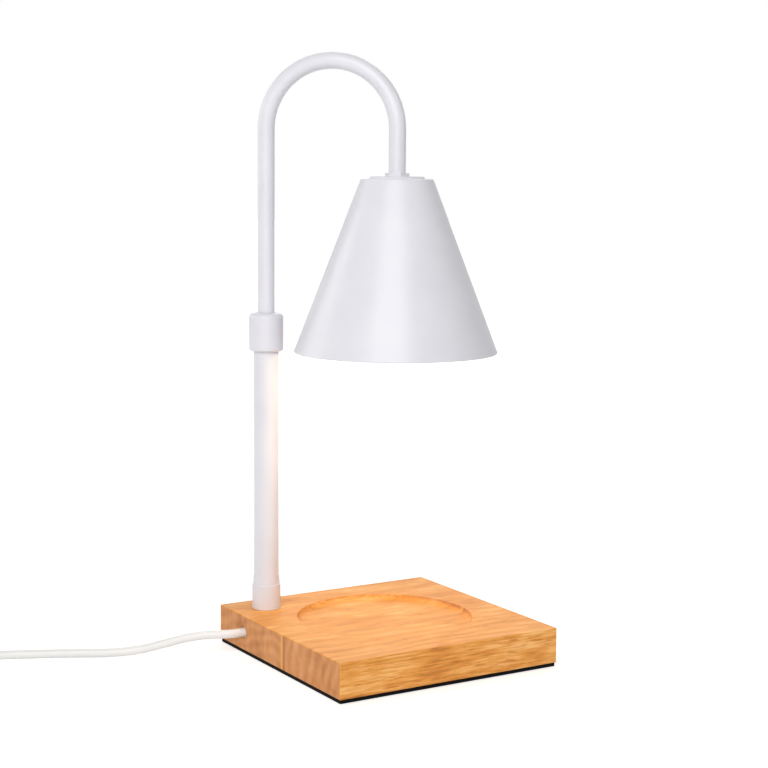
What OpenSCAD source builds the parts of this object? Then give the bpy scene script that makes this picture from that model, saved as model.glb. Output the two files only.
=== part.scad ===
// Lamp that melts a candle from above: a square wooden base, a post in one corner, a telescopic
// arm that bends over in a half circle, and a conical metal shade around a reflector bulb.
// Lengths are in millimetres. The origin is the middle of the underside, and +Z is up.
// The post stands in the back left corner, and the front of the base faces -Y.

/* [Base] */
// Side of the square base
base_side = 140; // [134:1:170]
// Thickness of the wood
wood_t = 20; // [19.5:0.5:26]
// Rounding of the edges of the wood
wood_round = 0.8; // [0.4:0.1:2]
// Thickness of the pad under the wood
pad_t = 2; // [1:0.5:4]
// Distance from the edge of the pad to the edge of the wood
pad_inset = 0.6; // [0.2:0.1:2]
// Diameter of the round recess in the top
recess_d = 100; // [70:1:102]
// Depth of the recess, which is also the radius of its coved edge
recess_depth = 3; // [1.5:0.5:3.5]
// Distance from the axis of the post to the two nearest sides
post_inset = 20; // [18:0.5:22]
// Height of the wiring pocket above the pad
pocket_h = 14; // [14:0.5:14.5]
// Radius of the wiring pocket round the post
pocket_r = 14; // [13:0.5:15]
// Distance from the post's axis to the cord's hole, along the side
cord_off = 10; // [10:0.5:12]
// Height of the cord's hole above the pad
cord_rise = 10.4; // [9.5:0.1:10.4]
// Diameter of the cord's hole
cord_hole_d = 7.5; // [7:0.1:8]

/* [Post] */
// Outer diameter of the post
post_d = 14.5; // [13.5:0.1:15]
// Wall of the post
post_wall = 1; // [0.8:0.1:1.1]
// Length of the post
post_len = 160; // [150:1:190]
// Diameter of the foot of the post
ferrule_d = 16.4; // [16.4:0.1:20]
// Height of the foot up to its step
ferrule_h = 14.5; // [10:0.5:20]
// Height of the narrower part of the foot
ferrule_neck_h = 1; // [1:0.5:6]
// Height of the taper from the foot to the post
ferrule_taper_h = 4; // [2:0.5:8]
// Thickness of the floor of the foot
ferrule_floor_t = 4; // [3:0.5:6]
// Outer diameter of the threaded tube that holds the post
nipple_d = 10; // [9:0.1:10.4]
// Bore of the threaded tube
nipple_bore = 7; // [6:0.1:7.5]
// Diameter of the locking collar
collar_d = 19.7; // [19:0.1:24]
// Height of the locking collar
collar_h = 22; // [20:0.5:26]
// Rounding of the collar's top edge
collar_round = 3.4; // [1:0.1:3.6]
// Length of the collar that lies below the end of the post
collar_drop = 14; // [12:0.5:15]
// Outer diameter of the threaded sleeve inside the collar
sleeve_d = 17.2; // [16.6:0.1:17.4]
// Height of the threaded sleeve
sleeve_h = 11; // [8:0.5:11.5]
// Height of the clamping cone
collet_cone_h = 5; // [4:0.5:5]
// Depth of the clamping ring in the post
collet_skirt_h = 18; // [12:0.5:20]
// Width of the slits in the clamping ring
collet_slit = 0.8; // [0.5:0.1:1.2]

/* [Arm] */
// Outer diameter of the arm's tube
arm_d = 9.5; // [9:0.1:10.2]
// Wall of the arm's tube
arm_wall = 1; // [0.8:0.1:1.2]
// Distance from the axis of the post to the axis of the shade
arm_reach = 75.7; // [66:0.1:90]
// Height of the arm's half circle above the end of the post
arm_rise = 111; // [100:1:140]
// Length of the arm inside the post
arm_hidden = 64; // [58:1:70]
// Height of the bush that guides the arm in the post
bush_h = 18; // [12:0.5:20]
// Height of each ring that keeps the bush on the arm
keeper_h = 2; // [1.5:0.1:3]
// Length of the arm below its half circle at the shade
arm_drop = 34.1; // [32:0.1:60]
// Diameter of the lead inside the arm
lead_d = 4.4; // [3:0.1:5]

/* [Shade] */
// Outer diameter of the flat top of the shade
shade_top_d = 40.1; // [38:0.1:50]
// Outer diameter of the rim of the shade
shade_rim_d = 114; // [104:0.1:130]
// Height of the shade
shade_h = 96.5; // [94:0.1:110]
// Thickness of the sheet
shade_t = 1; // [0.6:0.1:1.5]
// Rounding of the shoulder
shade_round = 1.2; // [1:0.1:4]
// Diameter of the disc on the shade
disc_d = 30.5; // [24:0.5:33]
// Thickness of the disc
disc_t = 1.2; // [0.8:0.1:2]
// Width of the nut on the disc across its flats
top_nut_af = 12; // [11.5:0.1:13.5]
// Thickness of the nut on the disc
top_nut_t = 1.8; // [1.5:0.1:4]
// Width of the hidden nuts across their flats
nut_af = 14; // [13:0.1:14]
// Thickness of the nut inside the shade
inner_nut_t = 4; // [3:0.5:5]

/* [Bulb] */
// Length of the bracket
bracket_l = 34; // [32:0.5:36]
// Width of the bracket
bracket_w = 14; // [14:0.5:18]
// Thickness of the bracket's sheet
bracket_t = 1.2; // [0.8:0.1:1.5]
// Height inside the bracket
bracket_gap = 9; // [8:0.5:12]
// Diameter of the ceramic holder
holder_d = 30; // [28:0.5:32]
// Height of the ceramic holder
holder_h = 20; // [16:0.5:22]
// Distance between the bulb's two pins
pin_pitch = 10; // [9.5:0.1:10.5]
// Distance between the two screws of the holder
holder_screw_pitch = 24; // [23:0.5:25]
// Diameter of the bulb's face
bulb_d = 50; // [45:0.5:51]
// Diameter of the bulb's neck
bulb_neck_d = 24; // [20:0.5:26]
// Height of the bulb's neck
bulb_neck_h = 14; // [12:0.5:16]
// Height of the reflector
reflector_h = 36; // [32:0.5:36]
// Thickness of the reflector's glass
reflector_t = 1.4; // [1:0.1:2]
// Thickness of the front glass
lens_t = 1.6; // [1:0.1:2]

/* [Cord] */
// Diameter of the cord
cord_d = 5; // [4.8:0.1:5]
// Distance between turns of the put-away coil, and between its layers
coil_pitch = 5.45; // [5.45:0.05:6]
// Radius of the first turn of the coil
coil_r = 37; // [36.5:0.5:38]
// Thickness of the tie on the coil
tie_t = 0.4; // [0.3:0.1:0.4]
// Width of the tie
tie_w = 5; // [3:0.5:8]

/* [Dimmer] */
// Length of the dimmer's housing
dimmer_l = 64; // [62:1:70]
// Width of the housing
dimmer_w = 26; // [25:0.5:27]
// Height of the housing
dimmer_h = 17; // [16.5:0.5:19]
// Wall of the housing
dimmer_wall = 1.8; // [1.4:0.1:2]
// Length of each tapered sleeve at the housing's ends
boot_l = 20; // [16:1:22]
// Diameter of the finger wheel
wheel_d = 24; // [23:0.5:24.5]
// Thickness of the finger wheel
wheel_t = 4; // [3:0.5:4.5]
// Distance of the wheel's axis from the middle of the housing
wheel_off = 3.5; // [3:0.1:4]
// Diameter of the wheel's shaft
wheel_shaft_d = 3; // [2.5:0.1:4]

/* [Plug] */
// Length of the plug's body
plug_l = 27; // [24:1:32]
// Width of the plug's body
plug_w = 26; // [23:1:27]
// Height of the plug's body
plug_h = 15; // [14:0.5:18]
// Length of the tapered sleeve on the plug
plug_boot_l = 22; // [18:1:24]
// Distance between the two blades
blade_pitch = 12.7; // [12:0.1:13]
// Length of the blades
blade_l = 17; // [14:0.5:18]

/* [Fits] */
// Radial gap between parts that turn or slide on each other
run_gap = 0.05; // [0.03:0.01:0.1]
// Radial gap between parts that are pushed or screwed together
fit_gap = 0.03; // [0.02:0.01:0.05]
// Radial gap where a part only passes through a hole
pass_gap = 0.3; // [0.2:0.05:0.4]

/* [Hidden] */
$fn = 72;

top_z = pad_t + wood_t;
post_x = -(base_side / 2 - post_inset);
post_y = base_side / 2 - post_inset;
pocket_top = pad_t + pocket_h;
pocket_l = 44;
pocket_w = 24;
cord_y = post_y - cord_off;
cord_z = pad_t + cord_rise;
cord_exit = [-base_side / 2 - 1, cord_y, cord_z];
entry_l = 31;
nipple_hole_r = nipple_d / 2 + 0.1;
washer_t = 1.5;
lock_washer_t = 1;
post_nut_t = 5;
nipple_bottom = pocket_top - washer_t - lock_washer_t - post_nut_t - 0.8;

screw_d = 3;
screw_turn = 135;
post_foot = top_z + ferrule_floor_t;
post_end = post_foot + post_len;
post_bore_r = post_d / 2 - post_wall;
nipple_top = post_foot + 2;
collar_bottom = post_end - collar_drop;
collar_top = collar_bottom + collar_h;
collar_floor = 1.6;
collet_r0 = post_d / 2 + 0.35;
collet_r1 = arm_d / 2 + 1;

arm_bottom = post_end - arm_hidden;
arm_spring = post_end + arm_rise;
arch_r = arm_reach / 2;
bush_bottom = arm_bottom + keeper_h + 0.8;
arm_end = arm_spring - arm_drop;
arm_below = 7.2;
shade_top = arm_end + arm_below;
shade_rim = shade_top - shade_h;
bracket_top = shade_top - shade_t;
bracket_floor = bracket_top - 2 * bracket_t - bracket_gap;
holder_bottom = bracket_floor - holder_h;
neck_bottom = holder_bottom - bulb_neck_h;
bulb_face = neck_bottom - reflector_h;
lip_r = shade_t / 2;
lip = [shade_rim_d / 2 - lip_r, lip_r];
to_lip = lip - [shade_top_d / 2, shade_h];
slope_angle = atan(-to_lip[0] / to_lip[1]) + asin(lip_r / norm(to_lip));

coil_x = cord_exit[0] - 217;
coil_y = cord_exit[1] - 93;
coil_z = cord_d / 2 + tie_t;
coil_turns_in = 3.25;
coil_turns_out = 3;
coil_start = -90;
coil_rings = 24;
coil_sides = 6;
cord_sides = 8;
wire_sides = 8;
dimmer_x = cord_exit[0] - 277;
dimmer_y = cord_exit[1] - 34;
plug_x = coil_x + coil_r - coil_pitch * (coil_turns_in - coil_turns_out);
plug_y = cord_exit[1] + 2;
blade_w = 6.35;
blade_t = 1.5;

// Route of the cord from the base to the dimmer: down to the surface and along it to the left
floor_z = cord_d / 2;
lead_end = [dimmer_x, dimmer_y + dimmer_l / 2 + boot_l, dimmer_h / 2];

// A point x to the left of the exit and y behind it, at a share of the exit's height over the surface
function lead_point(x, y, share = 0) = cord_exit + [-x, y, (share - 1) * (cord_z - floor_z)];

lead_route = [
    cord_exit, lead_point(6, 0, 1), lead_point(13, 2.4, 1), lead_point(21, 6.6, 0.96),
    lead_point(30, 11.6, 0.79), lead_point(40, 16.8, 0.5), lead_point(50, 22, 0.22),
    lead_point(60, 27, 0.06), lead_point(71, 32.6), lead_point(83, 38.8), lead_point(95, 44.8),
    lead_point(107, 50.4), lead_point(119, 55.6), lead_point(132, 60.4), lead_point(146, 64.6),
    lead_point(161, 68), lead_point(177, 70.6), lead_point(193, 72), lead_point(209, 72.6),
    lead_point(224, 72.6), lead_point(239, 72), lead_point(252, 69.2), lead_point(263.4, 62.6, 0.02),
    lead_end + [5, 34, -4.9], lead_end + [0.8, 22.6, -2.5], lead_end + [0, 12, -0.6],
    lead_end + [0, 6, 0], lead_end
];
// Route from the dimmer to the coil
link_start = [dimmer_x, dimmer_y - dimmer_l / 2 - boot_l, dimmer_h / 2];
link_end = [coil_x - cord_d, coil_y - coil_r, coil_z];
link_route = [
    link_start, link_start + [0, -5, 0], link_start + [0, -10, -0.9], link_start + [0.3, -17, -2.9],
    link_start + [2, -25, -4.8], link_end + [-48, 10.4, 0.1], link_end + [-40, 4, 0],
    link_end + [-30, 0.6, 0], link_end + [-19, 0, 0], link_end + [-9, 0, 0], link_end
];
// Route from the coil to the plug
tail_start = [plug_x, coil_y + cord_d, coil_z + coil_pitch];
tail_end = [plug_x, plug_y - plug_boot_l, plug_h / 2];
tail_route = [
    tail_start, tail_start + [0, 4, 0], tail_start + [0, 11, -0.7], tail_start + [0, 20, -2.3],
    tail_start + [0, 30, -3.45], tail_end + [0, -26, -2.8], tail_end + [0, -15, -1.4],
    tail_end + [0, -5, 0], tail_end
];

// ---------------------------------------------------------------- shared shapes

// A rectangle about the origin with round corners
module round_rect(x, y, r) {
    square([x - 2 * r, y], center = true);
    square([x, y - 2 * r], center = true);
    for (sx = [-1, 1], sy = [-1, 1])
        translate([sx * (x / 2 - r), sy * (y / 2 - r)])
            circle(r);
}

// A block on z = 0 whose corners are rounded by rc in plan and by re along its other edges
module round_block(x, y, z, rc, re) {
    intersection() {
        linear_extrude(z)
            round_rect(x, y, rc);
        translate([0, y / 2, z / 2])
            rotate([90, 0, 0])
                linear_extrude(y)
                    round_rect(x, z, re);
        translate([-x / 2, 0, z / 2])
            rotate([90, 0, 90])
                linear_extrude(x)
                    round_rect(y, z, re);
    }
}

// A tube on z = 0
module tube(h, ro, ri) {
    difference() {
        cylinder(h = h, r = ro);
        translate([0, 0, -1])
            cylinder(h = h + 2, r = ri);
    }
}

// A hexagonal nut on z = 0 with two flats facing along Y
module hex_nut(af, h, bore_r) {
    difference() {
        cylinder(h = h, r = af / 2 / cos(30), $fn = 6);
        translate([0, 0, -1])
            cylinder(h = h + 2, r = bore_r);
    }
}

// Moves its children from the origin to the axis of the post
module at_post() {
    translate([post_x, post_y, 0])
        children();
}

// Puts local +X along the arm, from the post to the shade
module at_arm() {
    at_post()
        rotate([0, 0, -45])
            children();
}

module at_shade() {
    at_arm()
        translate([arm_reach, 0, 0])
            children();
}

module at_dimmer() {
    translate([dimmer_x, dimmer_y, 0])
        children();
}

// ---------------------------------------------------------------- cord

function unit(v) = v / norm(v);

// Direction of a route at point i
function heading(p, i) = unit(p[min(i + 1, len(p) - 1)] - p[max(i - 1, 0)]);

// Ring of n points round point i of a route, turned by half a step so that a flat lies below
function ring(p, i, r, n, turn) =
    let (t = heading(p, i), s = unit(cross([0, 0, 1], t)), u = cross(t, s))
    [for (k = [0:n - 1]) p[i] + r * cos(turn + k * 360 / n) * s + r * sin(turn + k * 360 / n) * u];

// One closed tube along a route
module sweep(p, d, n, turn) {
    rings = len(p);
    points = [for (i = [0:rings - 1]) each ring(p, i, d / 2, n, turn)];
    sides = [
        for (i = [0:rings - 2], k = [0:n - 1])
            let (a = i * n + k, b = i * n + (k + 1) % n)
            each [[a, a + n, b], [b, a + n, b + n]]
    ];
    first_end = [for (k = [1:n - 2]) [0, k, k + 1]];
    last = (rings - 1) * n;
    last_end = [for (k = [1:n - 2]) [last, last + k + 1, last + k]];
    polyhedron(points = points, faces = concat(sides, first_end, last_end));
}

function smooth(x) = let (c = min(max(x, 0), 1)) c * c * (3 - 2 * c);

// Centre of the coil's cord after t turns: in along the lower layer and out along the upper one
function coil_point(t) =
    let (r = coil_r - coil_pitch * (coil_turns_in - abs(t - coil_turns_in)),
         a = coil_start + 360 * t,
         z = coil_z + coil_pitch * smooth(2 * (t - coil_turns_in) + 0.5))
    [coil_x + r * cos(a), coil_y + r * sin(a), z];

coil_turns = coil_turns_in + coil_turns_out;
coil_steps = coil_turns * coil_rings;
coil_wound = [for (i = [0:coil_steps]) coil_point(i / coil_rings)];
coil_path = concat([link_end], coil_wound, [tail_start]);

// Least gap between stretches of the coil that are more than half a turn apart along the cord
coil_gap = min([
    for (i = [0:len(coil_path) - 1], j = [i + 12:1:len(coil_path) - 1])
        norm(coil_path[i] - coil_path[j])
]) - cord_d;
echo(coil_gap = coil_gap);

function route_length(p) = len(p) < 2 ? 0 : sum([for (i = [1:len(p) - 1]) norm(p[i] - p[i - 1])]);
function sum(v, i = 0) = i == len(v) ? 0 : v[i] + sum(v, i + 1);
echo(lead = route_length(lead_route), link = route_length(link_route));
echo(coil = route_length(coil_path), tail = route_length(tail_route));

// ---------------------------------------------------------------- base

module base_block() {
    color("burlywood")
        difference() {
            translate([0, 0, pad_t])
                round_block(base_side, base_side, wood_t, wood_round, wood_round);
            recess();
            wiring_pocket();
            at_post()
                cylinder(h = top_z + 1, r = nipple_hole_r);
            translate(cord_exit)
                rotate([0, 90, 0])
                    cylinder(h = post_x - cord_exit[0], d = cord_hole_d);
        }
}

// Round seat with a coved edge
module recess() {
    translate([0, 0, top_z - recess_depth])
        rotate_extrude() {
            square([recess_d / 2 - recess_depth, recess_depth + 1]);
            translate([0, recess_depth])
                square([recess_d / 2, 1]);
            intersection() {
                translate([recess_d / 2 - recess_depth, recess_depth])
                    circle(recess_depth);
                square([recess_d / 2, recess_depth + 1]);
            }
        }
}

// Pocket in the underside for the post's nut and the joined wires
module wiring_pocket() {
    at_post() {
        translate([0, 0, -1])
            cylinder(h = pocket_top + 1, r = pocket_r);
        translate([0, 4 - pocket_w, -1])
            cube([pocket_l, pocket_w, pocket_top + 1]);
    }
}

module foot_pad() {
    color("black")
        linear_extrude(pad_t)
            round_rect(base_side - 2 * pad_inset, base_side - 2 * pad_inset, wood_round);
}

// Grommet that grips the cord a little way inside its hole, with a taper towards the pocket
module cord_bushing() {
    body_r = cord_hole_d / 2 - run_gap;
    bore_r = cord_d / 2 + run_gap;
    color("white")
        translate([-base_side / 2, cord_y, cord_z])
            rotate([0, 90, 0])
                difference() {
                    union() {
                        translate([0, 0, 1.5])
                            cylinder(h = 6, r = body_r);
                        translate([0, 0, 7.5])
                            cylinder(h = 8, r1 = body_r, r2 = bore_r + 0.5);
                    }
                    cylinder(h = 20, r = bore_r);
                }
}

// End of the cord's sheath inside the base
module cord_entry() {
    color("white")
        translate(cord_exit)
            rotate([0, 90, 0])
                cylinder(h = entry_l, d = cord_d);
}

entry_end = cord_exit + [entry_l, 0, 0];
joint = [post_x + pocket_l / 2, cord_y, pad_t + 5];

module core_wires() {
    color("brown")
        for (s = [-1, 1]) {
            side = [0, s * 3.6, 1.4];
            route = [
                entry_end + [0, s * 1.1, 0], entry_end + [1.5, s * 1.1, 0],
                entry_end + [3.6, s * 1.7, -0.3], joint - [5, 0, -2] + side,
                joint - [2, 0, 0] + side, joint + side
            ];
            sweep(route, 1.8, wire_sides, 0);
        }
}

module crimp_caps() {
    color("gainsboro")
        for (s = [-1, 1])
            translate(joint + [0, s * 3.6, 0])
                rotate([0, 90, 0]) {
                    cylinder(h = 11, d = 6);
                    translate([0, 0, 11])
                        cylinder(h = 3, d1 = 6, d2 = 4);
                }
}

// Lead from the joined wires up through the threaded tube
module lamp_lead() {
    foot = [post_x, post_y, pad_t + 2.6];
    color("white") {
        for (s = [-1, 1]) {
            start = joint + [0, s * 3.6, -1.6];
            sweep([start, start - [2, 0, 0], start - [8, s, 0.8], foot], 1.6, wire_sides, 0);
        }
        at_post()
            translate([0, 0, foot[2] - 1])
                cylinder(h = nipple_top - foot[2] + 1, d = lead_d);
    }
}

// ---------------------------------------------------------------- post

module post_ferrule() {
    r = ferrule_d / 2;
    neck_r = (ferrule_d + post_d) / 4;
    neck_top = ferrule_h + ferrule_neck_h;
    height = neck_top + ferrule_taper_h;
    color("white")
        at_post()
            translate([0, 0, top_z])
                difference() {
                    rotate_extrude()
                        polygon([
                            [0, 0], [r - 0.4, 0], [r, 0.4], [r, ferrule_h],
                            [neck_r, ferrule_h], [neck_r, neck_top],
                            [post_d / 2 + 0.25, height], [0, height]
                        ]);
                    translate([0, 0, ferrule_floor_t])
                        cylinder(h = height, r = post_d / 2 + fit_gap);
                    translate([0, 0, -1])
                        cylinder(h = height, r = nipple_d / 2 + fit_gap);
                    rotate([0, 0, screw_turn])
                        translate([0, 0, ferrule_floor_t + 3])
                            rotate([0, 90, 0])
                                cylinder(h = ferrule_d, d = screw_d + 2 * run_gap, $fn = 32);
                }
}

// Headless screw that holds the post in its foot, on the side away from the shade
module ferrule_screw() {
    color("silver")
        at_post()
            rotate([0, 0, screw_turn])
                translate([post_d / 2, 0, post_foot + 3])
                    rotate([0, 90, 0])
                        difference() {
                            cylinder(h = ferrule_d / 2 - post_d / 2 - 0.1, d = screw_d, $fn = 32);
                            translate([0, 0, 0.6])
                                cylinder(h = 2, d = 1.6, $fn = 6);
                        }
}

module post_tube() {
    color("whitesmoke")
        at_post()
            translate([0, 0, post_foot])
                tube(post_len, post_d / 2, post_bore_r);
}

module post_nipple() {
    color("goldenrod")
        at_post()
            translate([0, 0, nipple_bottom])
                tube(nipple_top - nipple_bottom, nipple_d / 2, nipple_bore / 2);
}

module post_washer() {
    color("silver")
        at_post()
            translate([0, 0, pocket_top - washer_t])
                tube(washer_t, 8, nipple_d / 2 + 0.1);
}

module post_lock_washer() {
    color("silver")
        at_post()
            translate([0, 0, pocket_top - washer_t - lock_washer_t])
                difference() {
                    tube(lock_washer_t, 7.5, nipple_d / 2 + 0.1);
                    rotate([0, 0, 20])
                        translate([0, -0.5, -1])
                            cube([12, 1, 3]);
                }
}

module post_nut() {
    color("goldenrod")
        at_post()
            translate([0, 0, pocket_top - washer_t - lock_washer_t - post_nut_t])
                hex_nut(nut_af, post_nut_t, nipple_d / 2 + fit_gap);
}

// Threaded sleeve round the end of the post
module thread_sleeve() {
    color("goldenrod")
        at_post()
            translate([0, 0, post_end - sleeve_h])
                tube(sleeve_h, sleeve_d / 2, post_d / 2 + fit_gap);
}

// Split ring that the collar squeezes on the arm
module collet() {
    color("ivory")
        at_post()
            translate([0, 0, post_end])
                difference() {
                    union() {
                        translate([0, 0, -collet_skirt_h])
                            cylinder(h = collet_skirt_h, r = post_bore_r - fit_gap);
                        cylinder(h = collet_cone_h, r1 = collet_r0, r2 = collet_r1);
                    }
                    translate([0, 0, -collet_skirt_h - 1])
                        cylinder(h = collet_skirt_h + collet_cone_h + 2, r = arm_d / 2 + run_gap);
                    for (a = [0, 90])
                        rotate([0, 0, a])
                            translate([-10, -collet_slit / 2, -collet_skirt_h + 4])
                                cube([20, collet_slit, collet_skirt_h + collet_cone_h]);
                }
}

module lock_collar() {
    r = collar_d / 2;
    step = collar_drop + 0.4;
    color("white")
        at_post()
            translate([0, 0, collar_bottom])
                difference() {
                    rotate_extrude() {
                        polygon([[0, 0], [r - 0.9, 0], [r, 0.9], [r, 2], [0, 2]]);
                        translate([0, 2])
                            square([r, collar_h - 2 - collar_round]);
                        square([r - collar_round, collar_h]);
                        intersection() {
                            translate([r - collar_round, collar_h - collar_round])
                                circle(collar_round);
                            square([r, collar_h]);
                        }
                    }
                    translate([0, 0, -1])
                        cylinder(h = collar_h + 2, r = arm_d / 2 + pass_gap);
                    translate([0, 0, -1])
                        cylinder(h = 10, r = post_d / 2 + pass_gap);
                    translate([0, 0, collar_floor])
                        cylinder(h = step - collar_floor, r = sleeve_d / 2 + run_gap);
                    translate([0, 0, step - 0.01])
                        cylinder(
                            h = collet_cone_h, r1 = collet_r0 + pass_gap, r2 = collet_r1 + pass_gap
                        );
                }
}

// Spare lead in the post, which takes up the arm's travel
module post_lead() {
    color("white")
        at_post()
            translate([0, 0, nipple_top])
                cylinder(h = arm_bottom - nipple_top, d = lead_d, $fn = 32);
}

// ---------------------------------------------------------------- arm

// Bush that slides in the post and in which the arm turns
module guide_bush() {
    color("ivory")
        at_post()
            translate([0, 0, bush_bottom])
                tube(bush_h, post_bore_r - run_gap, arm_d / 2 + run_gap);
}

// Rings on the arm, below and above the bush
module keeper_rings() {
    color("silver")
        at_arm()
            for (z = [bush_bottom - keeper_h - 0.2, bush_bottom + bush_h + 0.2])
                translate([0, 0, z])
                    tube(keeper_h, post_bore_r - pass_gap, arm_d / 2 + fit_gap);
}

// A straight leg, the half circle and the short leg at the shade, as solid bars of radius r
module arm_bar(r, bottom, end) {
    translate([0, 0, bottom])
        cylinder(h = arm_spring - bottom, r = r);
    translate([arch_r, 0, arm_spring])
        rotate([90, 0, 0])
            rotate_extrude(angle = 180)
                translate([arch_r, 0])
                    circle(r);
    translate([arm_reach, 0, end])
        cylinder(h = arm_spring - end, r = r);
}

module arm_tube() {
    color("whitesmoke")
        at_arm()
            difference() {
                arm_bar(arm_d / 2, arm_bottom, arm_end);
                arm_bar(arm_d / 2 - arm_wall, arm_bottom - 1, arm_end - 1);
            }
}

module arm_lead() {
    color("white")
        at_arm()
            arm_bar(lead_d / 2, arm_bottom, bracket_floor);
}

module top_nut() {
    color("white")
        at_shade()
            translate([0, 0, shade_top + disc_t])
                hex_nut(top_nut_af, top_nut_t, arm_d / 2 + fit_gap);
}

module cap_disc() {
    color("white")
        at_shade()
            translate([0, 0, shade_top])
                difference() {
                    rotate_extrude()
                        polygon([
                            [0, 0], [disc_d / 2, 0], [disc_d / 2, disc_t - 0.5],
                            [disc_d / 2 - 0.5, disc_t], [0, disc_t]
                        ]);
                    translate([0, 0, -1])
                        cylinder(h = disc_t + 2, r = arm_d / 2 + fit_gap);
                }
}

// Shoulder of the shade in section, drawn in by t from the outer face
function shoulder(t) =
    let (r = max(shade_round - t, 0.2), inset = t + r, steps = 6)
    [for (k = [0:steps])
        let (a = 90 - k * (90 - slope_angle) / steps)
        [
            shade_top_d / 2 + inset * tan(slope_angle) - inset / cos(slope_angle) + r * cos(a),
            shade_h - inset + r * sin(a)
        ]
    ];

// Rounded edge of the sheet at the rim in section, from the outer face to the inner one
function rim_lip() =
    let (steps = 8)
    [for (k = [0:steps])
        let (a = slope_angle - k * 180 / steps)
        lip + lip_r * [cos(a), sin(a)]
    ];

function reversed(v) = [for (i = [len(v) - 1:-1:0]) v[i]];

module shade() {
    color("whitesmoke")
        at_shade()
            translate([0, 0, shade_rim])
                difference() {
                    rotate_extrude()
                        polygon(concat(
                            [[0, shade_h]], shoulder(0), rim_lip(), reversed(shoulder(shade_t)),
                            [[0, shade_h - shade_t]]
                        ));
                    translate([0, 0, shade_h - 10])
                        cylinder(h = 20, r = arm_d / 2 + fit_gap);
                }
}

module inner_nut() {
    color("goldenrod")
        at_shade()
            translate([0, 0, bracket_top - bracket_t - inner_nut_t])
                hex_nut(nut_af, inner_nut_t, arm_d / 2 + fit_gap);
}

// ---------------------------------------------------------------- bulb and holder

module holder_bracket() {
    height = 2 * bracket_t + bracket_gap;
    color("silver")
        at_shade()
            translate([0, 0, bracket_floor])
                difference() {
                    translate([-bracket_l / 2, -bracket_w / 2, 0])
                        cube([bracket_l, bracket_w, height]);
                    translate([-bracket_l / 2 + bracket_t, -bracket_w, bracket_t])
                        cube([bracket_l - 2 * bracket_t, 2 * bracket_w, bracket_gap]);
                    translate([0, 0, -1])
                        cylinder(h = bracket_t + 2, r = lead_d / 2 + 1);
                    translate([0, 0, height - bracket_t - 1])
                        cylinder(h = bracket_t + 2, r = arm_d / 2 + fit_gap);
                    for (s = [-1, 1])
                        translate([s * holder_screw_pitch / 2, 0, -1])
                            cylinder(h = bracket_t + 2, d = 3.2, $fn = 32);
                }
}

module lamp_holder() {
    color("ivory")
        at_shade()
            translate([0, 0, holder_bottom])
                difference() {
                    rotate_extrude()
                        polygon([
                            [0, 0], [holder_d / 2 - 1, 0], [holder_d / 2, 1],
                            [holder_d / 2, holder_h], [0, holder_h]
                        ]);
                    for (s = [-1, 1]) {
                        translate([0, s * pin_pitch / 2, -1])
                            cylinder(h = 9, d = 5.6, $fn = 32);
                        translate([s * holder_screw_pitch / 2, 0, holder_h - 8])
                            cylinder(h = 9, d = 3, $fn = 32);
                    }
                }
}

module holder_screws() {
    color("silver")
        at_shade()
            for (s = [-1, 1])
                translate([s * holder_screw_pitch / 2, 0, bracket_floor - 7]) {
                    cylinder(h = 7 + bracket_t, d = 2.9, $fn = 32);
                    translate([0, 0, 7 + bracket_t])
                        difference() {
                            cylinder(h = 1.8, d = 5.4, $fn = 32);
                            translate([-3, -0.4, 1])
                                cube([6, 0.8, 2]);
                        }
                }
}

module bulb_neck() {
    color("ivory")
        at_shade()
            translate([0, 0, neck_bottom])
                rotate_extrude()
                    polygon([
                        [0, 0], [bulb_neck_d / 2, 0], [bulb_neck_d / 2, bulb_neck_h - 1],
                        [bulb_neck_d / 2 - 1, bulb_neck_h], [0, bulb_neck_h]
                    ]);
}

module bulb_pins() {
    color("silver")
        at_shade()
            for (s = [-1, 1])
                translate([0, s * pin_pitch / 2, holder_bottom]) {
                    cylinder(h = 3, d = 3, $fn = 32);
                    translate([0, 0, 3])
                        cylinder(h = 3.5, d = 5, $fn = 32);
                }
}

// Radius of the reflector's outer face at fraction s of the way from the neck to the face
function reflector_r(s) = bulb_neck_d / 2 + (bulb_d - bulb_neck_d) / 2 * sin(90 * s);

module bulb_reflector() {
    outer = [for (k = [0:12]) [reflector_r(k / 12), reflector_h * (1 - k / 12)]];
    inner = [for (k = [12:-1:0]) [reflector_r(k / 12) - reflector_t, reflector_h * (1 - k / 12)]];
    color("gainsboro")
        at_shade()
            translate([0, 0, bulb_face])
                rotate_extrude()
                    polygon(concat(outer, inner));
}

module bulb_capsule() {
    color("lightyellow")
        at_shade()
            translate([0, 0, neck_bottom - 16]) {
                cylinder(h = 16, d = 7, $fn = 32);
                sphere(d = 7, $fn = 32);
            }
}

module bulb_lens() {
    color("lightcyan")
        at_shade()
            translate([0, 0, bulb_face])
                cylinder(h = lens_t, r = bulb_d / 2 - reflector_t - 0.1);
}

// ---------------------------------------------------------------- cord, coil and tie

module cord_lead() {
    color("white")
        sweep(lead_route, cord_d, cord_sides, 22.5);
}

module cord_link() {
    color("white")
        sweep(link_route, cord_d, cord_sides, 22.5);
}

module cord_coil() {
    color("white")
        sweep(coil_path, cord_d, coil_sides, 0);
}

module cord_tail() {
    color("white")
        sweep(tail_route, cord_d, cord_sides, 22.5);
}

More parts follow.
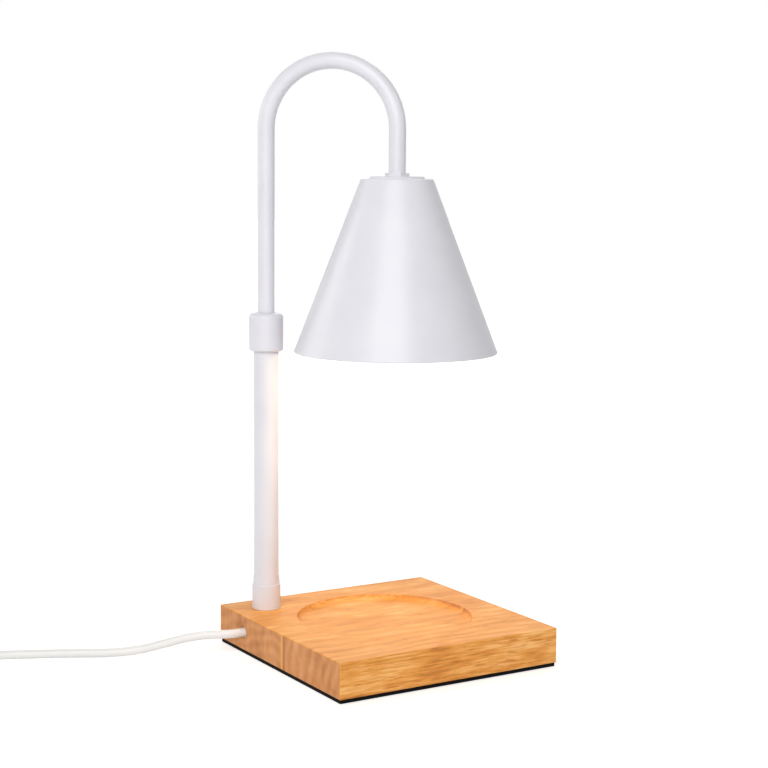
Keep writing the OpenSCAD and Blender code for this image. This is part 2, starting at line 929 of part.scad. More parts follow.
// Flat band round all the turns, at the back of the coil
module coil_tie() {
    inner_a = coil_r - coil_pitch * coil_turns_in - cord_d / 2 - 0.5;
    inner_b = coil_r + cord_d / 2 + 0.5;
    top = coil_z + coil_pitch + cord_d / 2 + 0.2;
    color("dimgray")
        translate([coil_x, coil_y, 0])
            rotate([0, 0, 120])
                difference() {
                    translate([inner_a - tie_t, -tie_w / 2, 0])
                        cube([inner_b - inner_a + 2 * tie_t, tie_w, top + tie_t]);
                    translate([inner_a, -tie_w, tie_t])
                        cube([inner_b - inner_a, 2 * tie_w, top - tie_t]);
                }
}

// ---------------------------------------------------------------- dimmer in the cord

split_z = dimmer_h / 2;
wheel_z = split_z - wheel_t / 2;
board_top = dimmer_wall + 1.6;

// Outer form of the housing, between two heights
module dimmer_form(z0, z1) {
    intersection() {
        round_block(dimmer_w, dimmer_l, dimmer_h, 6, 3);
        translate([-dimmer_w, -dimmer_l, z0])
            cube([2 * dimmer_w, 2 * dimmer_l, z1 - z0]);
    }
}

// Space inside the housing
module dimmer_space() {
    translate([0, 0, dimmer_wall])
        round_block(
            dimmer_w - 2 * dimmer_wall, dimmer_l - 2 * dimmer_wall, dimmer_h - 2 * dimmer_wall, 4.2, 1.2
        );
}

// Slot in which the wheel turns
module wheel_slot() {
    translate([wheel_off, 0, wheel_z - 0.4])
        cylinder(h = wheel_t + 0.8, d = wheel_d + 1.2);
}

// Where the two screws stand
module dimmer_screw_places() {
    for (s = [-1, 1])
        translate([s * 7, -s * 26, 0])
            children();
}

module dimmer_base() {
    color("white")
        at_dimmer()
            difference() {
                union() {
                    difference() {
                        dimmer_form(0, split_z);
                        dimmer_space();
                    }
                    dimmer_screw_places()
                        translate([0, 0, 0.5])
                            cylinder(h = split_z - 0.5, d = 6.4, $fn = 32);
                }
                wheel_slot();
                dimmer_screw_places() {
                    translate([0, 0, -1])
                        cylinder(h = 20, d = 2.8, $fn = 32);
                    translate([0, 0, -1])
                        cylinder(h = 3.2, d = 5, $fn = 32);
                }
            }
}

module dimmer_cover() {
    color("white")
        at_dimmer()
            difference() {
                union() {
                    difference() {
                        dimmer_form(split_z, dimmer_h);
                        dimmer_space();
                    }
                    dimmer_screw_places()
                        translate([0, 0, split_z])
                            cylinder(h = split_z - 0.5, d = 6.4, $fn = 32);
                }
                wheel_slot();
                dimmer_screw_places()
                    translate([0, 0, split_z - 1])
                        cylinder(h = 6.5, d = 2.6, $fn = 32);
            }
}

// Circuit board with its parts and the control whose shaft carries the wheel
module dimmer_board() {
    color("darkgreen")
        at_dimmer() {
            translate([-8, -20, dimmer_wall])
                cube([16, 40, 1.6]);
            translate([wheel_off - 7, -7, board_top])
                cube([11, 14, wheel_z - 0.4 - board_top]);
            translate([wheel_off, 0, board_top])
                cylinder(h = dimmer_h - dimmer_wall - 0.2 - board_top, d = wheel_shaft_d, $fn = 32);
            translate([-7, -19, board_top])
                cube([8, 5, 8]);
            translate([-3, 16.4, board_top])
                cylinder(h = 8, d = 5, $fn = 32);
        }
}

module dimmer_wheel() {
    ribs = 24;
    color("gainsboro")
        at_dimmer()
            translate([wheel_off, 0, wheel_z])
                difference() {
                    cylinder(h = wheel_t, d = wheel_d);
                    translate([0, 0, -1])
                        cylinder(h = wheel_t + 2, d = wheel_shaft_d + 2 * run_gap, $fn = 32);
                    for (k = [0:ribs - 1])
                        rotate([0, 0, k * 360 / ribs])
                            translate([wheel_d / 2 + 0.3, 0, -1])
                                cylinder(h = wheel_t + 2, d = 1.4, $fn = 16);
                }
}

module dimmer_wires() {
    color("brown")
        at_dimmer()
            for (e = [-1, 1], s = [-1, 1])
                sweep([
                    [s * 1.1, e * (dimmer_l / 2 - dimmer_wall), split_z],
                    [s * 1.1, e * (dimmer_l / 2 - dimmer_wall - 3), split_z],
                    [s * 3, e * 22.5, board_top + 1], [s * 3, e * 19.6, board_top + 0.8]
                ], 1.6, wire_sides, 0);
}

module dimmer_screws() {
    color("silver")
        at_dimmer()
            dimmer_screw_places() {
                translate([0, 0, 0.4])
                    cylinder(h = 1.8, d = 4.8, $fn = 32);
                translate([0, 0, 2])
                    cylinder(h = 10.5, d = 2.5, $fn = 32);
            }
}

// Tapered sleeves where the cord enters and leaves the housing
module dimmer_boots() {
    color("white")
        at_dimmer()
            for (e = [-1, 1])
                translate([0, e * dimmer_l / 2, split_z])
                    rotate([-e * 90, 0, 0])
                        boot(boot_l, 9, cord_d + 1.2);
}

// A tapered sleeve on z = 0 with three grooves
module boot(l, d1, d2) {
    difference() {
        cylinder(h = l, d1 = d1, d2 = d2);
        for (k = [1:3])
            translate([0, 0, k * l / 4])
                difference() {
                    cylinder(h = 1.2, d = d1 + 2);
                    translate([0, 0, -1])
                        cylinder(h = 3.2, d = d1 - (d1 - d2) * k / 4 - 1.2);
                }
    }
}

// ---------------------------------------------------------------- plug

module at_plug() {
    translate([plug_x, plug_y, 0])
        children();
}

module plug_boot() {
    color("white")
        at_plug()
            translate([0, 0, plug_h / 2])
                rotate([90, 0, 0])
                    boot(plug_boot_l, 10, cord_d + 1.2);
}

module plug_body() {
    color("white")
        at_plug()
            translate([0, plug_l / 2, 0])
                round_block(plug_w, plug_l, plug_h, 5, 3.5);
}

module plug_blades() {
    color("silver")
        at_plug()
            for (s = [-1, 1])
                translate([s * blade_pitch / 2 - blade_t / 2, plug_l, plug_h / 2 - blade_w / 2])
                    difference() {
                        cube([blade_t, blade_l, blade_w]);
                        translate([-1, blade_l - 4, blade_w / 2])
                            rotate([0, 90, 0])
                                cylinder(h = 4, d = 2.8, $fn = 32);
                    }
}

// ---------------------------------------------------------------- nodes

base_block();
foot_pad();
cord_bushing();
cord_entry();
core_wires();
crimp_caps();
lamp_lead();
post_ferrule();
ferrule_screw();
post_tube();
post_nipple();
post_washer();
post_lock_washer();
post_nut();
thread_sleeve();
collet();
lock_collar();
post_lead();
guide_bush();
keeper_rings();
arm_tube();
arm_lead();
top_nut();
cap_disc();
shade();
inner_nut();
holder_bracket();
lamp_holder();
holder_screws();
bulb_neck();
bulb_pins();
bulb_reflector();
bulb_capsule();
bulb_lens();
cord_lead();
dimmer_base();
dimmer_cover();
dimmer_board();
dimmer_wheel();
dimmer_wires();
dimmer_screws();
dimmer_boots();
cord_link();
cord_coil();
coil_tie();
cord_tail();
plug_boot();
plug_body();
plug_blades();
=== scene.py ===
"""Looks for the candle warmer lamp: its cord, its slack lead, its finishes, studio and camera.

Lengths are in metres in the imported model's frame, and MM turns millimetres into metres. Only the
points of the cord's route are in millimetres, until smooth_route makes metres of them.
"""
import math

import bmesh
import bpy
from mathutils import Matrix, Vector


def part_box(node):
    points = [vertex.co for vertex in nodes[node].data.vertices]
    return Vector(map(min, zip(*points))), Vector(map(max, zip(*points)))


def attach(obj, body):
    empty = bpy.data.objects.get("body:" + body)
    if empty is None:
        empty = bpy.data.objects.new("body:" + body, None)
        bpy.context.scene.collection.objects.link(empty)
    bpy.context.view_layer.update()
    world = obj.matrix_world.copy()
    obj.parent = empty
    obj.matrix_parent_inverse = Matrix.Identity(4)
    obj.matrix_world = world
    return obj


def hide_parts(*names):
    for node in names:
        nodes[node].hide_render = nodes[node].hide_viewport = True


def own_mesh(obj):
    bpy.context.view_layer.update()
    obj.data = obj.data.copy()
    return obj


MM = 0.001
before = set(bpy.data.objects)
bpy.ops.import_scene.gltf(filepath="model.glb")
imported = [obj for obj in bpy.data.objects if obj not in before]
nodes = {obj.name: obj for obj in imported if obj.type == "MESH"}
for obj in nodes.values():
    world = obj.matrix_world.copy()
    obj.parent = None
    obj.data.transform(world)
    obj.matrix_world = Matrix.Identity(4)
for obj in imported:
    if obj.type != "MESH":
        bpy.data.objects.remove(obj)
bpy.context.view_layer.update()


# ---------------------------------------------------------------- camera

# Solved from the base's corners in the photograph. The lens and the sensor are in millimetres.
LENS, SENSOR = 80.11, 36
CAMERA_PLACE = Vector((-500.619, -811.081, 273.429)) * MM
CAMERA_RIGHT = Vector((0.85227617, -0.52302895, 0.00812748))
CAMERA_UP = Vector((0.05738211, 0.10892524, 0.99239235))
CAMERA_BACK = Vector((-0.51993521, -0.84532598, 0.12284689))
CLIP_FROM, CLIP_TO = 0.05, 50


def place_camera():
    """The camera that took the photograph."""
    data = bpy.data.cameras.new("photo_camera")
    data.sensor_width = SENSOR
    data.lens = LENS
    data.clip_start = CLIP_FROM
    data.clip_end = CLIP_TO
    camera = bpy.data.objects.new("photo_camera", data)
    bpy.context.collection.objects.link(camera)
    turn = Matrix((CAMERA_RIGHT, CAMERA_UP, CAMERA_BACK)).transposed().to_4x4()
    camera.matrix_world = Matrix.Translation(CAMERA_PLACE) @ turn
    bpy.context.scene.camera = camera


place_camera()


# ---------------------------------------------------------------- cord

CORD_D = 5 * MM

# The route, in millimetres: the cord's middle on the table, and the ends of its runs
FLOOR_Z = 2.5
EXIT = Vector((-71, 40, 12.4))
DIMMER_END = Vector((-348, 58, 8.5))
DIMMER_START = Vector((-348, -46, 8.5))
PLUG_BOOT = Vector((-252.3625, 20, 7.5))

# The coil: its middle and lower layer, its outer radius and the step from turn to turn, its turns
# on the way in and on the way out, and the angle at which it starts
COIL_X, COIL_Y, COIL_Z = -288, -53, 2.9
COIL_R, COIL_PITCH = 37, 5.45
TURNS_IN, TURNS_OUT = 3.25, 3
COIL_START = -90
STEPS_PER_TURN = 24


def steps_from(start, steps):
    """Points at these steps from the start."""
    return [start + Vector(step) for step in steps]


def lead_points():
    """From the bushing in the base's side down to the table, and along it to the dimmer.

    Each point of the drop is how far out it is, how far aside, and what share of the exit's
    height above the table is left.
    """
    drop = [
        (0, 0, 1), (6, 0, 1), (13, 2.4, 1), (21, 6.6, 0.96), (30, 11.6, 0.79), (40, 16.8, 0.5),
        (50, 22, 0.22), (60, 27, 0.06), (71, 32.6, 0), (83, 38.8, 0), (95, 44.8, 0),
        (107, 50.4, 0), (119, 55.6, 0), (132, 60.4, 0), (146, 64.6, 0), (161, 68, 0),
        (177, 70.6, 0), (193, 72, 0), (209, 72.6, 0), (224, 72.6, 0), (239, 72, 0),
        (252, 69.2, 0), (263.4, 62.6, 0.02),
    ]
    rise = ((5, 34, -4.9), (0.8, 22.6, -2.5), (0, 12, -0.6), (0, 6, 0), (0, 0, 0))
    return [
        EXIT + Vector((-x, y, (share - 1) * (EXIT.z - FLOOR_Z))) for x, y, share in drop
    ] + steps_from(DIMMER_END, rise)


def coil_points():
    """In along the lower layer and out along the upper one, with the step between them."""
    points = []
    for i in range(round((TURNS_IN + TURNS_OUT) * STEPS_PER_TURN) + 1):
        t = i / STEPS_PER_TURN
        radius = COIL_R - COIL_PITCH * (TURNS_IN - abs(t - TURNS_IN))
        angle = math.radians(COIL_START + 360 * t)
        s = min(max(2 * (t - TURNS_IN) + 0.5, 0), 1)
        z = COIL_Z + COIL_PITCH * s * s * (3 - 2 * s)
        points.append((COIL_X + radius * math.cos(angle), COIL_Y + radius * math.sin(angle), z))
    return points


def tail_points():
    """From the dimmer into the coil, round it, and out to the plug."""
    coil_in = Vector((COIL_X - 5, COIL_Y - COIL_R, COIL_Z))
    coil_out = Vector((PLUG_BOOT.x, COIL_Y + 5, COIL_Z + COIL_PITCH))
    from_dimmer = ((0, 0, 0), (0, -5, 0), (0, -10, -0.9), (0.3, -17, -2.9), (2, -25, -4.8))
    into_coil = ((-48, 10.4, 0.1), (-40, 4, 0), (-30, 0.6, 0), (-19, 0, 0), (-9, 0, 0), (0, 0, 0))
    from_coil = ((0, 0, 0), (0, 4, 0), (0, 11, -0.7), (0, 20, -2.3), (0, 30, -3.45))
    to_plug = ((0, -26, -2.8), (0, -15, -1.4), (0, -5, 0), (0, 0, 0))
    return (steps_from(DIMMER_START, from_dimmer) + steps_from(coil_in, into_coil) + coil_points()
            + steps_from(coil_out, from_coil) + steps_from(PLUG_BOOT, to_plug))


def smooth_route(points, parts=4):
    """A smooth curve through the points, in metres."""
    points = [Vector(p) * MM for p in points]
    ends = [2 * points[0] - points[1]] + points + [2 * points[-1] - points[-2]]
    route = []
    for a, b, c, d in zip(ends, ends[1:], ends[2:], ends[3:]):
        for k in range(parts):
            t = k / parts
            route.append(
                0.5 * (2 * b + (c - a) * t + (2 * a - 5 * b + 4 * c - d) * t ** 2
                       + (3 * b - a - 3 * c + d) * t ** 3)
            )
    return route + [points[-1]]


def make_flex(name, route):
    """A round flex along the route, as one open curve."""
    data = bpy.data.curves.new(name, "CURVE")
    data.dimensions = "3D"
    data.bevel_depth = 1
    data.bevel_resolution = 4
    data.use_fill_caps = True
    spline = data.splines.new("POLY")
    spline.points.add(len(route) - 1)
    for point, place in zip(spline.points, route):
        point.co = (*place, 1)
        point.radius = CORD_D / 2
    spline.use_smooth = True
    flex = bpy.data.objects.new(name, data)
    bpy.context.collection.objects.link(flex)
    return flex


lead_route = smooth_route(lead_points())
lead_flex = make_flex("flex_to_dimmer", lead_route)
tail_route = smooth_route(tail_points())
tail_flex = make_flex("flex_to_plug", tail_route)

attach(lead_flex, "base")
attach(tail_flex, "base")
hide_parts("cord_lead")
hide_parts("cord_link", "cord_coil", "cord_tail")


# ---------------------------------------------------------------- slack lead

LEAD_D = 4.4 * MM
LEAD_SIDES = 20
LEAD_BOW = 1.1 * MM
LEAD_TURNS = 1.5
LEAD_STEPS = 36


def make_slack_lead():
    """The sleeved lead inside the post.

    It winds a little from side to side.
    """
    low, high = (Vector(corner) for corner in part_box("post_lead"))
    foot = Vector(((low.x + high.x) / 2, (low.y + high.y) / 2, low.z))
    rise = high.z - low.z
    form = bmesh.new()
    bmesh.ops.create_circle(form, cap_ends=True, segments=LEAD_SIDES, radius=LEAD_D / 2)
    bmesh.ops.translate(form, vec=foot, verts=form.verts)
    top = form.faces[:]
    bow = Vector((0, 0, 0))
    for step in range(1, LEAD_STEPS + 1):
        share = step / LEAD_STEPS
        swell = LEAD_BOW * math.sin(math.pi * share)
        turn = math.tau * LEAD_TURNS * share
        place = Vector((swell * math.cos(turn), swell * math.sin(turn), rise * share))
        grown = bmesh.ops.extrude_face_region(form, geom=top)["geom"]
        top = [part for part in grown if isinstance(part, bmesh.types.BMFace)]
        ring = [part for part in grown if isinstance(part, bmesh.types.BMVert)]
        bmesh.ops.translate(form, vec=place - bow, verts=ring)
        bow = place
    bmesh.ops.recalc_face_normals(form, faces=form.faces)
    for face in form.faces:
        face.smooth = len(face.verts) == 4
    mesh = bpy.data.meshes.new("slack_lead")
    form.to_mesh(mesh)
    form.free()
    lead = bpy.data.objects.new("slack_lead", mesh)
    bpy.context.collection.objects.link(lead)
    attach(lead, "base")
    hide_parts("post_lead")
    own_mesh(lead)
    return lead


slack_lead = make_slack_lead()


# ---------------------------------------------------------------- making a finish

# Blender's wave texture turns by this many radians over one unit at scale 1
WAVES_PER_UNIT = 20

# Sockets of a Mix node, whose names are shared
FACTOR, VECTOR_A, VECTOR_B, COLOUR_A, COLOUR_B = 0, 4, 5, 6, 7
VECTOR_OUT, COLOUR_OUT = 1, 2


def linear(code):
    """Linear colour of an sRGB hex value such as #A1B2C3."""
    parts = [int(code[i:i + 2], 16) / 255 for i in (1, 3, 5)]
    return [c / 12.92 if c <= 0.04045 else ((c + 0.055) / 1.055) ** 2.4 for c in parts] + [1]


def per_mm(size):
    """Texture scale at which one cell is that many millimetres."""
    return 1 / (size * MM)


def band_scale(gap):
    """Wave scale at which the bands are that many millimetres apart."""
    return math.tau / WAVES_PER_UNIT / (gap * MM)


def empty_finish(name):
    """A material with no nodes yet."""
    finish = bpy.data.materials.new(name)
    finish.use_nodes = True
    finish.node_tree.nodes.clear()
    return finish


def add(finish, kind, links, stops=(), **settings):
    """Adds one node with its settings, its sockets' values or links, and its colour stops."""
    made = finish.node_tree.nodes.new(kind)
    for key, value in settings.items():
        setattr(made, key, value)
    for key, value in links.items():
        if isinstance(value, bpy.types.NodeSocket):
            finish.node_tree.links.new(value, made.inputs[key])
        else:
            made.inputs[key].default_value = value
    for i, (position, code) in enumerate(stops):
        elements = made.color_ramp.elements
        stop = elements[i] if i < len(elements) else elements.new(position)
        stop.position = position
        stop.color = linear(code)
    return made


# ---------------------------------------------------------------- wood

SEAM_Y = -7.5 * MM


def oiled_alder():
    """Alder glued up from two staves, planed, sanded and oiled.

    Warm tan, with straight long grain on the top and the front, and growth rings and rays on
    the two ends, which the oil has turned pinker. Each stave has its own rings.
    """
    finish = empty_finish("oiled_alder")
    place = add(finish, "ShaderNodeTexCoord", {})
    spot = place.outputs["Object"]
    axes = add(finish, "ShaderNodeSeparateXYZ", {0: spot})
    behind = add(finish, "ShaderNodeMath",
                 {0: axes.outputs["Y"], 1: SEAM_Y},
                 operation="GREATER_THAN")

    # The grain wanders 5 mm over 100 mm of length
    slow = add(finish, "ShaderNodeMapping", {"Vector": spot, "Scale": (0.4, 1, 1)})
    sway = add(finish, "ShaderNodeTexNoise",
               {"Vector": slow.outputs[0], "Scale": per_mm(40), "Detail": 2.0})
    sway = add(finish, "ShaderNodeVectorMath",
               {0: sway.outputs["Color"], 1: (0.5, 0.5, 0.5)},
               operation="SUBTRACT")
    sway = add(finish, "ShaderNodeVectorMath",
               {0: sway.outputs[0], "Scale": 22 * MM},
               operation="SCALE")
    swayed = add(finish, "ShaderNodeVectorMath", {0: spot, 1: sway.outputs[0]}, operation="ADD")

    # Growth rings 7 mm apart: upright on the front stave's ends, and lying flat on the back one's
    front = add(finish, "ShaderNodeVectorMath",
                {0: swayed.outputs[0], 1: (0, 130 * MM, 30 * MM)},
                operation="ADD")
    back = add(finish, "ShaderNodeVectorMath",
               {0: swayed.outputs[0], 1: (0, -10 * MM, 95 * MM)},
               operation="ADD")
    pith = add(finish, "ShaderNodeMix",
               {FACTOR: behind.outputs[0], VECTOR_A: front.outputs[0], VECTOR_B: back.outputs[0]},
               data_type="VECTOR")
    rings = add(finish, "ShaderNodeTexWave",
                {"Vector": pith.outputs[VECTOR_OUT], "Scale": band_scale(7), "Distortion": 1.2,
                 "Detail": 2.0, "Detail Scale": 1.2, "Detail Roughness": 0.55},
                wave_type="RINGS", rings_direction="X", wave_profile="SIN")

    # Patches of figure 13 mm wide and 36 mm long
    broad = add(finish, "ShaderNodeMapping", {"Vector": spot, "Scale": (0.36, 1, 1)})
    figure = add(finish, "ShaderNodeTexNoise",
                 {"Vector": broad.outputs[0], "Scale": per_mm(13), "Detail": 3.0,
                  "Roughness": 0.55, "Distortion": 0.6})

    # Fibres, drawn 1.2 mm across and 17 mm long so that they show, and plainer on the sawn edges
    facing = add(finish, "ShaderNodeSeparateXYZ", {0: place.outputs["Normal"]})
    sawn = add(finish, "ShaderNodeMath", {0: facing.outputs["Y"]}, operation="ABSOLUTE")
    sawn = add(finish, "ShaderNodeMapRange",
               {"Value": sawn.outputs[0], "From Min": 0.6, "From Max": 0.95, "To Min": 0.45,
                "To Max": 1.5})
    fine = add(finish, "ShaderNodeMapping", {"Vector": spot, "Scale": (0.07, 1, 1)})
    fibre = add(finish, "ShaderNodeTexNoise",
                {"Vector": fine.outputs[0], "Scale": per_mm(1.2), "Detail": 3.0, "Roughness": 0.6})
    broad_tone = add(finish, "ShaderNodeMapRange",
                     {"Value": figure.outputs["Fac"], "To Min": 0.14, "To Max": 0.86})
    strength = add(finish, "ShaderNodeMath",
                   {0: fibre.outputs["Fac"], 1: 0.5},
                   operation="SUBTRACT")
    strength = add(finish, "ShaderNodeMath",
                   {0: strength.outputs[0], 1: sawn.outputs[0], 2: broad_tone.outputs[0]},
                   operation="MULTIPLY_ADD")
    strength = add(finish, "ShaderNodeMath",
                   {0: rings.outputs["Fac"], 1: 0.16, 2: strength.outputs[0]},
                   operation="MULTIPLY_ADD")
    tone = add(finish, "ShaderNodeValToRGB",
               {"Fac": strength.outputs[0]},
               [(0.26, "#CF853E"), (0.46, "#E99C4A"), (0.62, "#F2AA57"), (0.84, "#FFC47A")])

    # Pores cut along their length: dark flecks in cells 1.1 mm high and 11 mm long
    short = add(finish, "ShaderNodeMapping", {"Vector": spot, "Scale": (0.1, 1, 1)})
    fleck = add(finish, "ShaderNodeTexNoise",
                {"Vector": short.outputs[0], "Scale": per_mm(1.1), "Detail": 2.0,
                 "Roughness": 0.5})
    fleck_tone = add(finish, "ShaderNodeValToRGB",
                     {"Fac": fleck.outputs["Fac"]},
                     [(0.6, "#FFFFFF"), (0.7, "#C98A55")])
    tone = add(finish, "ShaderNodeMix",
               {FACTOR: 0.45, COLOUR_A: tone.outputs[0], COLOUR_B: fleck_tone.outputs[0]},
               data_type="RGBA", blend_type="MULTIPLY")

    # The ends: browner, with the rings, and rays about 5 mm apart that run up the end
    ends = add(finish, "ShaderNodeMath", {0: facing.outputs["X"]}, operation="ABSOLUTE")
    ends = add(finish, "ShaderNodeMapRange",
               {"Value": ends.outputs[0], "From Min": 0.7, "From Max": 0.95})
    upright = add(finish, "ShaderNodeMapping", {"Vector": swayed.outputs[0], "Scale": (1, 1, 0.1)})
    rays = add(finish, "ShaderNodeTexNoise",
               {"Vector": upright.outputs[0], "Scale": per_mm(5), "Detail": 3.0, "Roughness": 0.5})
    grain = add(finish, "ShaderNodeMath", {0: rays.outputs["Fac"], 1: 0.49}, operation="MULTIPLY")
    grain = add(finish, "ShaderNodeMath",
                {0: rings.outputs["Fac"], 1: 0.14, 2: grain.outputs[0]},
                operation="MULTIPLY_ADD")
    grain = add(finish, "ShaderNodeMath",
                {0: figure.outputs["Fac"], 1: 0.5, 2: grain.outputs[0]},
                operation="MULTIPLY_ADD")
    end_tone = add(finish, "ShaderNodeValToRGB",
                   {"Fac": grain.outputs[0]},
                   [(0.36, "#BD7B46"), (0.52, "#D38F56"), (0.64, "#DD9A61"), (0.82, "#E9AC77")])
    tone = add(finish, "ShaderNodeMix",
               {FACTOR: ends.outputs[0], COLOUR_A: tone.outputs[COLOUR_OUT],
                COLOUR_B: end_tone.outputs[0]},
               data_type="RGBA")

    # Glue line: a pale streak 2.5 mm wide, beside a dark one that fades over 4 mm. Both are
    # clearest on the ends
    clear = add(finish, "ShaderNodeMapRange",
                {"Value": ends.outputs[0], "To Min": 0.25, "To Max": 1.0})
    off = add(finish, "ShaderNodeMath", {0: axes.outputs["Y"], 1: SEAM_Y}, operation="SUBTRACT")
    streak = add(finish, "ShaderNodeMapRange",
                 {"Value": off.outputs[0], "From Min": 1.8 * MM, "From Max": 3.0 * MM,
                  "To Min": 0.75, "To Max": 0.0})
    streak = add(finish, "ShaderNodeMath",
                 {0: streak.outputs[0], 1: behind.outputs[0]},
                 operation="MULTIPLY")
    streak = add(finish, "ShaderNodeMath",
                 {0: streak.outputs[0], 1: clear.outputs[0]},
                 operation="MULTIPLY")
    tone = add(finish, "ShaderNodeMix",
               {FACTOR: streak.outputs[0], COLOUR_A: tone.outputs[COLOUR_OUT],
                COLOUR_B: linear("#F6B368")},
               data_type="RGBA")
    line = add(finish, "ShaderNodeMapRange",
               {"Value": off.outputs[0], "From Min": -4 * MM, "From Max": -0.5 * MM, "To Min": 0.0,
                "To Max": 0.7})
    before = add(finish, "ShaderNodeMath", {0: off.outputs[0], 1: 0.2 * MM}, operation="LESS_THAN")
    line = add(finish, "ShaderNodeMath",
               {0: line.outputs[0], 1: before.outputs[0]},
               operation="MULTIPLY")
    line = add(finish, "ShaderNodeMath",
               {0: line.outputs[0], 1: clear.outputs[0]},
               operation="MULTIPLY")
    tone = add(finish, "ShaderNodeMix",
               {FACTOR: line.outputs[0], COLOUR_A: tone.outputs[COLOUR_OUT],
                COLOUR_B: linear("#B06E34")},
               data_type="RGBA")

    rough = add(finish, "ShaderNodeMapRange",
                {"Value": fibre.outputs["Fac"], "From Min": 0.3, "From Max": 0.7, "To Min": 0.58,
                 "To Max": 0.46})
    relief = add(finish, "ShaderNodeBump",
                 {"Height": fibre.outputs["Fac"], "Distance": 0.08 * MM, "Strength": 0.4})
    surface = add(finish, "ShaderNodeBsdfPrincipled",
                  {"Base Color": tone.outputs[COLOUR_OUT], "Roughness": rough.outputs[0],
                   "Normal": relief.outputs[0], "IOR": 1.5, "Specular IOR Level": 0.2})
    add(finish, "ShaderNodeOutputMaterial", {"Surface": surface.outputs[0]})
    return finish


# ---------------------------------------------------------------- metals

def powder_coated_steel():
    """Polyester powder sprayed and baked on steel.

    Semi-gloss white with a cool cast. The powder flows out into a faint orange peel, and the
    gloss drifts a little from place to place.
    """
    finish = empty_finish("white_powder_coated_steel")
    place = add(finish, "ShaderNodeTexCoord", {})
    peel = add(finish, "ShaderNodeTexNoise",
               {"Vector": place.outputs["Object"], "Scale": per_mm(0.9), "Detail": 3.0,
                "Roughness": 0.55})
    wide = add(finish, "ShaderNodeTexNoise",
               {"Vector": place.outputs["Object"], "Scale": per_mm(26), "Detail": 2.0})
    tint = add(finish, "ShaderNodeValToRGB",
               {"Fac": wide.outputs["Fac"]},
               [(0.0, "#DEDDE4"), (1.0, "#EBEAEF")])
    rough = add(finish, "ShaderNodeMapRange",
                {"Value": wide.outputs["Fac"], "To Min": 0.29, "To Max": 0.36})
    relief = add(finish, "ShaderNodeBump",
                 {"Height": peel.outputs["Fac"], "Distance": 0.01 * MM, "Strength": 0.5})
    surface = add(finish, "ShaderNodeBsdfPrincipled",
                  {"Base Color": tint.outputs[0], "Roughness": rough.outputs[0],
                   "Normal": relief.outputs[0], "IOR": 1.5})
    add(finish, "ShaderNodeOutputMaterial", {"Surface": surface.outputs[0]})
    return finish


def zinc_plated_steel():
    """Zinc-plated steel, rolled and tumbled: grey with a cool, slightly cloudy shine."""
    finish = empty_finish("zinc_plated_steel")
    place = add(finish, "ShaderNodeTexCoord", {})
    cloud = add(finish, "ShaderNodeTexNoise",
                {"Vector": place.outputs["Object"], "Scale": per_mm(2.5), "Detail": 4.0})
    tint = add(finish, "ShaderNodeValToRGB",
               {"Fac": cloud.outputs["Fac"]},
               [(0.3, "#A9ABAE"), (0.7, "#C6C8CA")])
    rough = add(finish, "ShaderNodeMapRange",
                {"Value": cloud.outputs["Fac"], "From Min": 0.3, "From Max": 0.7, "To Min": 0.44,
                 "To Max": 0.3})
    relief = add(finish, "ShaderNodeBump",
                 {"Height": cloud.outputs["Fac"], "Distance": 0.01 * MM, "Strength": 0.4})
    surface = add(finish, "ShaderNodeBsdfPrincipled",
                  {"Base Color": tint.outputs[0], "Metallic": 1.0, "Roughness": rough.outputs[0],
                   "Normal": relief.outputs[0]})
    add(finish, "ShaderNodeOutputMaterial", {"Surface": surface.outputs[0]})
    return finish


def turned_brass():
    """Brass turned on a lathe: warm yellow, with rings that the tool left 0.35 mm apart."""
    finish = empty_finish("turned_brass")
    place = add(finish, "ShaderNodeTexCoord", {})
    marks = add(finish, "ShaderNodeTexWave",
                {"Vector": place.outputs["Object"], "Scale": band_scale(0.35), "Distortion": 0.6,
                 "Detail": 2.0},
                wave_type="BANDS", bands_direction="Z")
    tarnish = add(finish, "ShaderNodeTexNoise",
                  {"Vector": place.outputs["Object"], "Scale": per_mm(4), "Detail": 3.0})
    tint = add(finish, "ShaderNodeValToRGB",
               {"Fac": tarnish.outputs["Fac"]},
               [(0.3, "#C79F55"), (0.7, "#E3C27A")])
    rough = add(finish, "ShaderNodeMapRange",
                {"Value": tarnish.outputs["Fac"], "From Min": 0.3, "From Max": 0.7, "To Min": 0.38,
                 "To Max": 0.3})
    relief = add(finish, "ShaderNodeBump",
                 {"Height": marks.outputs["Fac"], "Distance": 0.01 * MM, "Strength": 0.5})
    surface = add(finish, "ShaderNodeBsdfPrincipled",
                  {"Base Color": tint.outputs[0], "Metallic": 1.0, "Roughness": rough.outputs[0],
                   "Normal": relief.outputs[0]})
    add(finish, "ShaderNodeOutputMaterial", {"Surface": surface.outputs[0]})
    return finish


def nickel_plate():
    """Bright nickel on the bulb's pins, a little warm, with faint handling marks."""
    finish = empty_finish("nickel_plate")
    place = add(finish, "ShaderNodeTexCoord", {})
    rub = add(finish, "ShaderNodeTexNoise",
              {"Vector": place.outputs["Object"], "Scale": per_mm(0.7), "Detail": 3.0})
    tint = add(finish, "ShaderNodeValToRGB",
               {"Fac": rub.outputs["Fac"]},
               [(0.3, "#C9C3B8"), (0.7, "#DAD6CD")])
    rough = add(finish, "ShaderNodeMapRange",
                {"Value": rub.outputs["Fac"], "From Min": 0.3, "From Max": 0.7, "To Min": 0.24,
                 "To Max": 0.16})
    surface = add(finish, "ShaderNodeBsdfPrincipled",
                  {"Base Color": tint.outputs[0], "Metallic": 1.0, "Roughness": rough.outputs[0]})
    add(finish, "ShaderNodeOutputMaterial", {"Surface": surface.outputs[0]})
    return finish


# ---------------------------------------------------------------- plastics, rubber, ceramic

